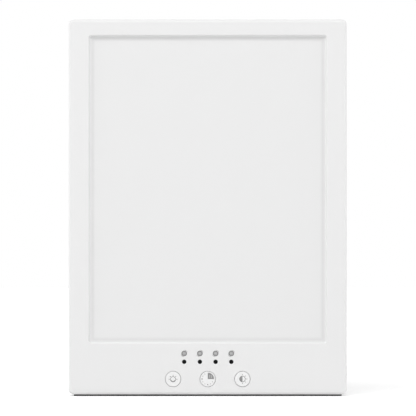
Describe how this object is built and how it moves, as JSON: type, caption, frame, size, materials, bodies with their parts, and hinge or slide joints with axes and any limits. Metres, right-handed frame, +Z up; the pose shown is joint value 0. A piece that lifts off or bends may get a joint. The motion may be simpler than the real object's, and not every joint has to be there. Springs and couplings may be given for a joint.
{
  "type": "light therapy lamp",
  "caption": "Slim upright light therapy lamp with a framed opal light window, press buttons and indicator windows in its chin, a side power inlet and a swing-out stand behind.",
  "frame": {"origin": "centre of the base pad's flat underside, on the floor, midway through the case's width and depth", "axes": "+Z up along the case's height, -Y out of the light window, +X towards the side with the power inlet"},
  "size_m": [0.2208, 0.1054, 0.2978],
  "materials": {
    "white_shell": "fine matt moulded texture",
    "button_cap": "smooth satin",
    "opal_diffuser": "opal, satin",
    "clear_guide": "clear, polished",
    "white_film": "white reflecting film",
    "sheet_aluminium": "pressed sheet",
    "strip_board": "white solder mask",
    "lamp_chip": "phosphor",
    "tinned_metal": "tinned",
    "circuit_board": "green solder mask",
    "black_plastic": "matt",
    "smoked_lens": "smoked, polished",
    "plated_pin": "nickel plated",
    "inlet_body": "white moulded",
    "ferrite": "sintered",
    "copper_wire": "enamelled copper",
    "capacitor_can": "sleeved can",
    "screw_steel": "zinc plated",
    "pin_steel": "ground",
    "pad_rubber": "matt rubber",
    "grey_nylon": "nylon"
  },
  "bodies": {
    "case": {"front_bezel": "white_shell", "rear_cover": "white_shell", "base_pad": "pad_rubber", "diffuser_panel": "opal_diffuser", "light_guide_plate": "clear_guide", "reflector_sheet": "white_film", "panel_backplate": "sheet_aluminium", "light_strip_left": "strip_board", "light_strip_right": "strip_board", "edge_lights_left": "lamp_chip", "edge_lights_right": "lamp_chip", "strip_links": "tinned_metal", "control_board": "circuit_board", "tact_switches": "black_plastic", "indicator_lenses": "smoked_lens", "indicator_chips": "lamp_chip", "power_inlet": "inlet_body", "inlet_centre_pin": "plated_pin", "inductor_core": "ferrite", "inductor_winding": "copper_wire", "smoothing_capacitors": "capacitor_can", "board_chips": "black_plastic", "case_screws": "screw_steel", "backplate_screws": "screw_steel", "board_screws": "screw_steel", "hinge_pins": "pin_steel", "friction_washers": "grey_nylon"},
    "stand": {"kickstand": "white_shell", "stand_foot": "pad_rubber"},
    "power_key": {"power_button": "button_cap", "power_plunger": "black_plastic"},
    "timer_key": {"timer_button": "button_cap", "timer_plunger": "black_plastic"},
    "brightness_key": {"brightness_button": "button_cap", "brightness_plunger": "black_plastic"}
  },
  "joints": [
    {"name": "power_press", "type": "slide", "parent": "case", "child": "power_key", "axis": [0, 1, 0], "range_m": [0, 0.0005], "stiffness_N_per_m": 400, "springref_m": -0.0005},
    {"name": "timer_press", "type": "slide", "parent": "case", "child": "timer_key", "axis": [0, 1, 0], "range_m": [0, 0.0005], "stiffness_N_per_m": 400, "springref_m": -0.0005},
    {"name": "brightness_press", "type": "slide", "parent": "case", "child": "brightness_key", "axis": [0, 1, 0], "range_m": [0, 0.0005], "stiffness_N_per_m": 400, "springref_m": -0.0005},
    {"name": "stand_swing", "type": "hinge", "parent": "case", "child": "stand", "pos_m": [0, 0.0087, 0.074], "axis": [1, 0, 0], "range_deg": [0, 133]}
  ]
}
